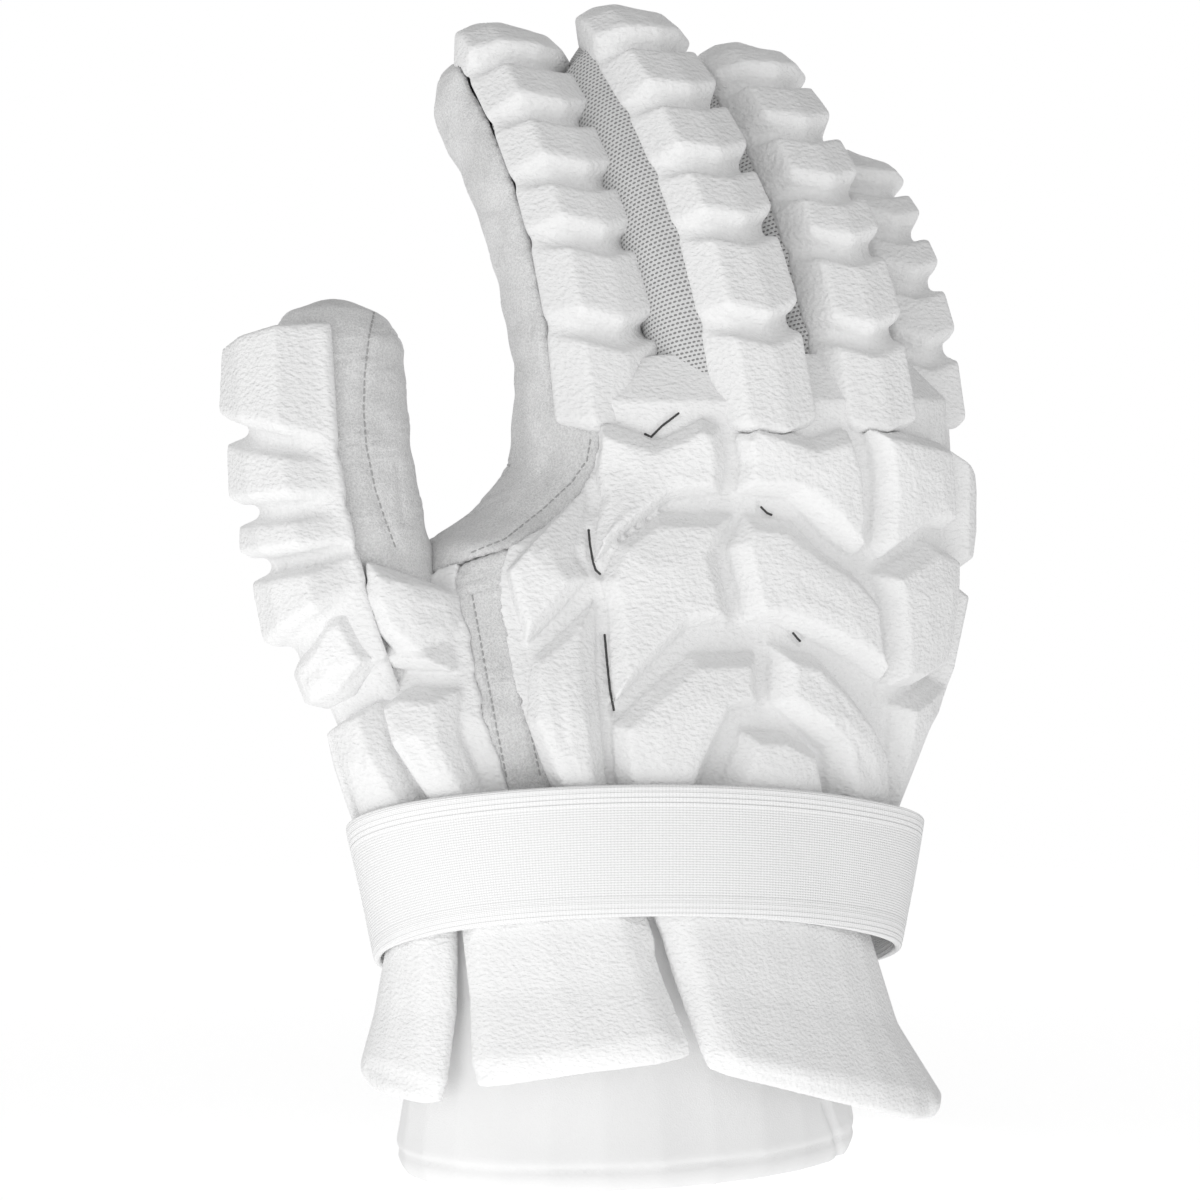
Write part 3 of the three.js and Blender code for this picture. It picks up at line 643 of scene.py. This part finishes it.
# Grooves narrower than twice the web are filled
FINGER_WEB, THUMB_WEB, PLATE_WEB, SUEDE_WEB = 0.8 * MM, 1.2 * MM, 0.6 * MM, 1.9 * MM
STRIP_START = 8 * MM
STRIP_LIFT = 1.5 * MM  # from the digit's skin to the middle of the strip under its pads
STRIP_THICKNESS = 2.6 * MM
THUMB_STRIP_START = 0.33  # of the thumb's length
THUMB_STRIP_LIFT, THUMB_STRIP_THICKNESS = 3 * MM, 5.4 * MM
THUMB_ROOT_STRIP = (0.18, 0.4)  # where the thin strip starts and ends on the thumb
GROOVE_FLOOR = 1.8 * MM
OUTWARD = 0.3  # how far a face has to turn outward to be on a panel's outer side
HAND_MIDDLE = Vector((15, 4, 0)) * MM
FINGER_WRAP = (-56, 56)
THUMB_WRAP = (-58, 58)


# Narrow cuts in the leather between the blocks, each with a strip of painted shadow, in the
# photograph's pixels
SLITS = {
    "beside_knuckle": ((588.6, 530), (590, 545), (593, 562), (595.7, 570), (600, 574)),
    "beside_back_block": ((604.6, 635), (607, 662), (610, 690), (613.8, 710)),
    "under_index": ((645, 434), (651, 437), (662, 426), (679, 413)),
    "under_knuckle": ((761, 507), (767, 513), (772, 515)),
    "over_wrist_block": ((793, 633), (797, 638), (800, 641)),
}
SLIT_DEPTH, SLIT_WIDTH = 1.2 * MM, 1.8 * MM
# An open cut between two of the thumb's pads, wider than the slits and with no strip of painted
# shadow in it
THUMB_CUT = ((276, 566), (305, 560), (348, 550))
CUT_DEPTH, CUT_WIDTH = 3 * MM, 2.6 * MM


def raised(points, normals):
    """Lifts the outer side of a panel, which is the floor of the grooves between the blocks."""
    from_middle = points - np.array(HAND_MIDDLE)
    from_middle[:, 2] = 0
    outer = (from_middle * normals).sum(1) > OUTWARD * np.linalg.norm(from_middle, axis=1)
    return normals * (GROOVE_FLOOR * outer)[:, None]


def slits(piece):
    """Cuts in the leather, each with a fine near-black strip laid in it as painted shadow."""
    for name, corners in SLITS.items():
        groove(piece, line_on(corners, piece)[0], SLIT_DEPTH, SLIT_WIDTH)
        line, normals = line_on(corners, piece)
        stitch_row(f"slit_{name}", line, normals, SLIT_SHADOW_STRIP, painted_slit_shadow)


def armour():
    for finger, count in FINGER_PADS.items():
        nodes = [f"{finger}_pad_{k + 1}" for k in range(count)]
        digit = digits[finger]
        end = digit.straight
        strip = strip_on(digit, FINGER_WRAP, STRIP_START, end, STRIP_LIFT, STRIP_THICKNESS)
        pads = copy_of(f"{finger}_armour", *nodes)
        push(pads, lambda points, normals: digit.tucked(points))
        piece = mould(joined(pads, strip), FINE, FINGER_WEB, 2)
        dress(piece, pad_leather, nodes)
    thumb_armour()
    for name, blocks, panel in (
        ("thumb_base_armour", THUMB_BASE, "thumb_panel"),
        ("hand_armour", HAND_BLOCKS, "back_panel"),
    ):
        floor = push(copy_of("groove_floor", panel), raised)
        piece = relax(remesh(joined(copy_of(name, *blocks), floor), CRISP), 6)
        if name == "hand_armour":
            slits(piece)
        dress(piece, pad_leather, (*blocks, panel))


def thumb_armour():
    """The thumb's pads on one thick strip, with a thinner one that reaches on to its root."""
    thumb = digits["thumb"]
    start, end = THUMB_STRIP_START * thumb.length, thumb.straight
    strip = strip_on(thumb, THUMB_WRAP, start, end, THUMB_STRIP_LIFT, THUMB_STRIP_THICKNESS)
    start, end = (share * thumb.length for share in THUMB_ROOT_STRIP)
    under = strip_on(thumb, THUMB_WRAP, start, end, STRIP_LIFT, STRIP_THICKNESS)
    pads = copy_of("thumb_armour", *THUMB_PADS)
    piece = mould(joined(pads, strip, under), FINE, THUMB_WEB, 1)
    groove(piece, line_on(THUMB_CUT, piece)[0], CUT_DEPTH, CUT_WIDTH)
    dress(piece, pad_leather, THUMB_PADS)


# Cloth and suede
WRINKLE = 0.4 * MM
# Voxel sizes of the three suede pieces
PALM_VOXEL, SLEEVE_VOXEL, STRIP_VOXEL = 1.15 * MM, 0.9 * MM, 0.8 * MM
KNIT_VOXEL = 0.9 * MM
ROUNDED_FROM = 24 * MM  # along the digit, where its suede front leaves the palm
# Where the knit fills out between two fingers, in degrees round the finger
KNIT_SWELLS = {
    "index": {80: 1.5 * MM},
    "middle": {90: 1.5 * MM},
    "ring": {90: 1.5 * MM},
    "little": {},
}
# Knitted side walls that fill the gap to the finger before, and how far each stands out
SIDE_WALLS = {"middle": 7 * MM, "ring": 5 * MM, "little": 4.5 * MM}
SIDE_WALL = (-158, -52)
WALL_START, WALL_LIFT, WALL_THICKNESS = 6 * MM, 0.6 * MM, 1.6 * MM
SEAM_SWELL = {"palm": 0.8 * MM, "thumb_sleeve": 0.35 * MM, "suede_strip": 1 * MM}


def wrinkles(points, normals):
    """Shallow wrinkles across the fingers and the palm, from crossed waves."""
    x, y, z = points.T / MM
    waves = np.sin(z * 0.42 + 2.1 * np.sin(x * 0.07 + y * 0.05))
    waves *= np.sin(z * 0.13 + x * 0.11 + 1.3 * np.sin(y * 0.09))
    creases = np.sin(z * 0.95 + y * 0.35 + 3 * np.sin(x * 0.05 + z * 0.03))
    sharp = -((1 - np.abs(creases)) ** 3) * (waves > 0.2)
    return normals * (WRINKLE * (waves + 1.2 * sharp))[:, None]


# Seams in the suede, in the photograph's pixels
SEAMS = {
    "thumb_side": (
        "thumb_sleeve",
        (
            (374.8, 310), (368.9, 338), (364.7, 374), (363.6, 408),
            (366.2, 446), (375.2, 490), (384.7, 519), (397, 552),
        ),
    ),
    "strip_near_thumb": ("suede_strip", ((472, 594), (486, 672), (497, 730), (506, 775))),
    "strip_near_hand": ("suede_strip", ((502, 600), (517, 672), (530, 730), (540, 775))),
    "crotch": ("palm", ((470, 553), (505, 539), (543, 509), (571, 483), (587, 460), (591, 436))),
}
# Seams and creases of the palm, in millimetres across and up. The photograph doesn't show them
PALM_SEAMS = {
    "finger_roots": ((-32, 196), (-8, 200), (20, 201), (46, 197), (64, 188)),
    "thumb_mount": ((-34, 176), (-20, 168), (-9, 152), (-5, 132), (-9, 112), (-18, 98)),
    "heel": ((-2, 112), (18, 108), (40, 112), (56, 122)),
}
PALM_CREASES = (
    ((-30, 184), (-10, 176), (14, 172), (34, 176)),
    ((60, 172), (40, 164), (16, 162), (2, 166)),
)
SEAM_DEPTH, SEAM_WIDTH = 0.5 * MM, 1.8 * MM
CREASE_DEPTH, CREASE_WIDTH = 0.7 * MM, 4 * MM
# Folds, each with its piece, its depth and its line in the photograph's pixels
FOLDS = {
    "at_fingertip": (
        "palm", 0.5 * MM, ((447, 84), (450, 121), (455, 134), (460, 151), (466, 180)),
    ),
    "across_index": ("palm", 0.5 * MM, ((480, 212), (500, 209))),
    "across_index_low": ("palm", 0.3 * MM, ((500, 299), (516, 300))),
    "index_root": ("palm", 0.4 * MM, ((524, 371), (540, 372), (545, 380))),
    "index_to_crotch": (
        "palm", 0.5 * MM, ((532, 480), (541, 470), (548, 458), (557, 450), (572, 462)),
    ),
    "thumb_root": ("thumb_sleeve", 0.4 * MM, ((398, 462), (400, 490), (404, 520))),
}
FOLD_WIDTH = 2.2 * MM


# Places on the palm where its wall is thickened from inside, in millimetres and in pixels
PALM_CORES = ((65.4, 187), (63.1, 193.6), (64.4, 181.2), (-19.4, 196.3), (-15.8, 187.2))
CROTCH_CORES = ((455, 531), (466, 532), (478, 529))
CORE, CORE_OVER = 4 * MM, 0.3 * MM


def cored(piece, places, ray):
    """Thickens a thin wall from inside, with small balls that just come through its face."""
    tree = tree_of(piece)
    for place in places:
        at, normal, _, _ = tree.ray_cast(*ray(*place))
        middle = at - normal * (CORE - CORE_OVER)
        bpy.ops.mesh.primitive_uv_sphere_add(radius=CORE, location=middle)
        joined(piece, bpy.context.object)
    return piece


def suede_pieces():
    pieces = {}
    fingers = [digits[finger] for finger in FINGER_PADS]
    for node, voxel, smooth_over in (
        ("palm", PALM_VOXEL, fingers),
        ("thumb_sleeve", SLEEVE_VOXEL, [digits["thumb"]]),
        ("suede_strip", STRIP_VOXEL, []),
    ):
        piece = copy_of(f"{node}_suede", node)
        if node == "palm":
            cored(cored(piece, PALM_CORES, facing_palm), CROTCH_CORES, sight)
        mould(piece, voxel, SUEDE_WEB, 0)
        for digit in smooth_over:
            push(piece, lambda points, normals: digit.rounded(points, ROUNDED_FROM))
        relax(piece, 6)
        change(piece, "DISPLACE", strength=SEAM_SWELL[node], mid_level=0)
        push(piece, wrinkles)
        pieces[node] = dress(piece, suede_nap, [node])
    return pieces


def sew(name, piece, corners, stitch, ray=sight, spacing=2):
    """Presses a seam into a piece along a line and lays its stitches in it."""
    groove(piece, line_on(corners, piece, ray, spacing)[0], SEAM_DEPTH, SEAM_WIDTH)
    line, normals = line_on(corners, piece, ray, spacing)
    stitch_row(name, line, normals, stitch, grey_thread)


def cloth():
    pieces = suede_pieces()
    palm = pieces["palm"]
    for node, depth, corners in FOLDS.values():
        groove(pieces[node], line_on(corners, pieces[node])[0], depth, FOLD_WIDTH)
    for name, (node, corners) in SEAMS.items():
        sew(f"seam_{name}", pieces[node], corners, SUEDE_STITCH)
    for corners in PALM_CREASES:
        groove(palm, line_on(corners, palm, facing_palm, 1)[0], CREASE_DEPTH, CREASE_WIDTH)
    for name, corners in PALM_SEAMS.items():
        sew(f"palm_{name}", palm, corners, PALM_STITCH, facing_palm, 1)
    for finger in FINGER_PADS:
        knitted(finger)


def knitted(finger):
    """The knit round a finger, with the side wall that fills the gap to the finger before."""
    digit = digits[finger]
    end = digit.straight
    piece = copy_of(f"{finger}_knit", f"{finger}_gusset")
    if finger in SIDE_WALLS:
        crown = SIDE_WALLS[finger]
        wall = strip_on(digit, SIDE_WALL, WALL_START, end, WALL_LIFT, WALL_THICKNESS, crown)
        joined(piece, wall)
    remesh(piece, KNIT_VOXEL)
    relax(piece, 3)
    push(piece, lambda points, normals: digit.rounded(points))
    for side, amount in KNIT_SWELLS[finger].items():
        push(piece, lambda points, normals: digit.bulged(points, side, amount))
    push(piece, lambda points, normals: normals * digit.pleats(points)[:, None])
    angle, along, _, _ = digit.read(read_points(piece)[0])
    over = np.clip((along - end) / TIP_ROUND, 0, 1)
    along = np.minimum(along, end) + TIP_ROUND * np.arcsin(over)
    lay_map(piece, "weave", angle, digit.width / 2, along)
    dress(piece, knit_mesh, [f"{finger}_gusset"])


# Cuff
STRAP_MIDDLE_Z = 75.5 * MM
STRAP_ARCH = 18 * MM
STRAP_TOP = math.radians(-24)
STRAP_EDGE, TAB_EDGE, EDGE_ANGLE = 0.9 * MM, 0.5 * MM, 50
HEM = 6 * MM
HEM_ROLL, HEM_SEAM, HEM_SEAM_WIDTH = 0.5 * MM, 0.5 * MM, 1.6 * MM
HEM_MIDDLE, HEM_SPREAD = 0.45, 0.55  # of the hem's height
LINER_WAVES, LINER_WAVE, LINER_LEAN = 9, 0.2 * MM, 14 * MM
LINER_VOXEL = 1.1 * MM
# The strap's end on the palm side: its angles round the wrist, half its width, and its seams
TAB_FROM, TAB_TO, TAB_HALF = 200, 152, 15.5
TAB_GRID = (60, 24)
TAB_OVER, TAB_THICKNESS = 0.3 * MM, 1.5 * MM
OUTSIDE = 1.4  # of the strap's half width, where a ray towards it starts
# Where the tab's free end starts to narrow, over how much of its half length, and how far
TAB_ROUND, TAB_ROUND_OVER, TAB_NARROW = 0.8, 0.2, 0.75
TAB_SEAMS = {
    "sewn_end": ((196.5, -13), (196.5, 13)),
    "second_row": ((192, -13), (192, 13)),
    "free_end": ((156, -10), (156, 10)),
}


# Lower and inner borders of the plates, which are pressed down, and the liner's fold, in pixels
PLATE_BORDERS = {
    "plate_thumb_side": ((366, 1072), (440, 1096)),
    "plate_middle": ((476, 1076), (580, 1065), (686, 1046), (668, 985), (652, 932)),
    "plate_little_side": ((664, 932), (684, 990), (708, 1064), (800, 1084), (932, 1106)),
}
BORDER_DEPTH, BORDER_WIDTH = 1.1 * MM, 5 * MM
LINER_FOLD = ((826, 1104), (836, 1130), (841, 1156))
LINER_FOLD_DEPTH, LINER_FOLD_WIDTH = 1.2 * MM, 3 * MM


class Strap:
    """Places on the strap, by an angle round the wrist and a height from its middle line."""

    def __init__(self, piece):
        low, high = (Vector(corner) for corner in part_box("wrist_strap"))
        self.centre, self.half, self.tree = (low + high) / 2, (high - low) / 2, tree_of(piece)

    def angle(self, points):
        across, out = ((points - self.centre) / self.half)[:, :2].T
        return np.arctan2(across, -out)

    def middle(self, angle):
        return STRAP_MIDDLE_Z + STRAP_ARCH * np.cos(angle - STRAP_TOP)

    def map(self, piece):
        points = read_points(piece)[0]
        angle = self.angle(points)
        height = points[:, 2] - self.middle(angle)
        lay_map(piece, "weave", angle, (self.half.x + self.half.y) / 2, height)

    def ray(self, degrees, height):
        """The ray that meets the strap from outside at an angle and a height in millimetres."""
        angle = math.radians(degrees)
        out = Vector((math.sin(angle) * self.half.x, -math.cos(angle) * self.half.y, 0))
        start = self.centre + out * OUTSIDE
        start.z = self.middle(angle) + height * MM
        return start, -out.normalized()


def strap():
    piece = copy_of("wrist_band", "wrist_strap")
    bevel(piece, STRAP_EDGE, EDGE_ANGLE)
    change(piece, "SUBSURF", levels=2, render_levels=2)
    band = Strap(piece)
    band.map(piece)
    dress(piece, elastic, ["wrist_strap"])
    strap_tab(band)


def strap_tab(band):
    """The strap's sewn end, which lies on the band and is rounded at its free end."""
    bpy.ops.object.select_all(action="DESELECT")
    columns, rows = TAB_GRID
    bpy.ops.mesh.primitive_grid_add(x_subdivisions=columns, y_subdivisions=rows, size=2)
    tab = bpy.context.object
    tab.name = tab.data.name = "strap_tab"
    laid = []
    for x, y, _ in read_points(tab)[0]:
        into_end = max((x - TAB_ROUND) / TAB_ROUND_OVER, 0)
        rounded = math.sqrt(1 - into_end**2 * TAB_NARROW)
        degrees = TAB_FROM + (TAB_TO - TAB_FROM) * (x + 1) / 2
        place, normal, _, _ = band.tree.ray_cast(*band.ray(degrees, y * TAB_HALF * rounded))
        laid.append(place + normal * TAB_OVER)
    tab.data.vertices.foreach_set("co", np.array(laid).ravel())
    change(tab, "SOLIDIFY", thickness=TAB_THICKNESS, offset=-1)
    bevel(tab, TAB_EDGE, EDGE_ANGLE)
    band.map(tab)
    dress(tab, elastic)
    for name, corners in TAB_SEAMS.items():
        line, normals = line_on(corners, tab, band.ray, 1)
        stitch_row(f"tab_{name}", line, normals, TAB_STITCH, grey_thread)


def hem(points, normals):
    """A rolled hem at the liner's open end, with the seam above it pressed in."""
    height = points[:, 2]
    roll = np.clip(1 - np.abs(height / HEM - HEM_MIDDLE) / HEM_SPREAD, 0, 1) ** 0.5
    seam = np.clip(1 - np.abs(height - HEM) / HEM_SEAM_WIDTH, 0, 1)
    angle = np.arctan2(points[:, 1], points[:, 0])
    waves = np.sin(angle * LINER_WAVES + height / LINER_LEAN) * (height > HEM)
    return normals * (HEM_ROLL * roll - HEM_SEAM * seam + LINER_WAVE * waves)[:, None]


def cuff():
    for node, border in PLATE_BORDERS.items():
        piece = mould(copy_of(f"{node}_pad", node), COARSE, PLATE_WEB, 4)
        groove(piece, line_on(border, piece)[0], BORDER_DEPTH, BORDER_WIDTH)
        dress(piece, plate_leather, [node])
    piece = copy_of("cuff_lining", "cuff_liner")
    remesh(piece, LINER_VOXEL)
    relax(piece, 4)
    push(piece, hem)
    groove(piece, line_on(LINER_FOLD, piece)[0], LINER_FOLD_DEPTH, LINER_FOLD_WIDTH)
    dress(piece, liner_cloth, ["cuff_liner"])


# Stage
SOFT_LIGHT = Vector((-0.4, -0.42, -0.81))  # the way to where most of the light comes from
SOFT_STRENGTH = (0.2, 1.27)  # away from it and towards it
FLOOR_RADIUS, FLOOR_TONE, FLOOR_GLOW = 0.9, 0.9, 0.55
FLOOR_FADE = (0.2, 0.8)  # from the middle, where the floor starts to fade and where it is gone
# Each light's azimuth and elevation in degrees, its distance and size in metres, and its watts
LIGHTS = {"key": (-62, -18, 1.5, 0.8, 3.5), "back": (150, 12, 1.8, 1.2, 6)}


def stage_and_light():
    bpy.ops.mesh.primitive_circle_add(vertices=96, radius=FLOOR_RADIUS, fill_type="NGON")
    floor = bpy.context.object
    floor.name = "floor"
    shade = Shade("pale_floor", Specular_IOR_Level=0.0)
    middle = {0: shade.place()}
    far = shade.add("ShaderNodeVectorMath", {"operation": "LENGTH"}, middle, output="Value")
    shade.feed(shade.surface.inputs["Alpha"], 1 - far.eased(*FLOOR_FADE))
    shade.surface.inputs["Emission Color"].default_value = (1, 1, 1, 1)
    shade.surface.inputs["Emission Strength"].default_value = FLOOR_GLOW
    floor.data.materials.append(shade.paint((*grey(FLOOR_TONE), 1), 0.9))
    floor.visible_diffuse = floor.visible_glossy = floor.visible_shadow = False
    studio_world()
    for name, (azimuth, elevation, distance, size, power) in LIGHTS.items():
        light = bpy.data.lights.new(name, "AREA")
        light.size, light.energy = size, power
        lamp = bpy.data.objects.new(name, light)
        bpy.context.scene.collection.objects.link(lamp)
        aim(lamp, math.radians(azimuth), math.radians(elevation), distance)


def studio_world():
    """White behind the glove, and a soft light that comes most from its cuff and thumb side."""
    world = bpy.context.scene.world or bpy.data.worlds.new("studio")
    bpy.context.scene.world = world
    world.use_nodes = True
    tree = world.node_tree
    background = tree.nodes["Background"]
    background.inputs["Color"].default_value = (1, 1, 1, 1)
    seen = tree.nodes.new("ShaderNodeLightPath")
    direction = tree.nodes.new("ShaderNodeTexCoord")
    towards = tree.nodes.new("ShaderNodeVectorMath")
    towards.operation = "DOT_PRODUCT"
    towards.inputs[1].default_value = SOFT_LIGHT
    dimmed = tree.nodes.new("ShaderNodeMapRange")
    least, most = SOFT_STRENGTH
    for socket, value in (("From Min", -1), ("From Max", 1), ("To Min", least), ("To Max", most)):
        dimmed.inputs[socket].default_value = value
    strength = tree.nodes.new("ShaderNodeMix")
    strength.inputs["B"].default_value = 1
    for output, socket in (
        (direction.outputs["Generated"], towards.inputs[0]),
        (towards.outputs["Value"], dimmed.inputs["Value"]),
        (dimmed.outputs[0], strength.inputs["A"]),
        (seen.outputs["Is Camera Ray"], strength.inputs["Factor"]),
        (strength.outputs[0], background.inputs["Strength"]),
    ):
        tree.links.new(output, socket)
    bpy.context.scene.view_settings.view_transform = "Standard"


def aim(thing, azimuth, elevation, distance):
    """Stands a camera or a light off the glove, turned to look at it."""
    away = away_at(azimuth, elevation)
    thing.location = CAMERA_TARGET + away * distance
    thing.rotation_euler = (-away).to_track_quat("-Z", "Y").to_euler()


def camera():
    view = bpy.data.cameras.new("camera")
    view.sensor_width = SENSOR
    view.lens = SENSOR * CAMERA_DISTANCE / FRAME_WIDTH
    eye = bpy.data.objects.new("camera", view)
    bpy.context.scene.collection.objects.link(eye)
    aim(eye, AZIMUTH, ELEVATION, CAMERA_DISTANCE)
    bpy.context.scene.camera = eye


camera()
stage_and_light()
armour()
cloth()
strap()
cuff()
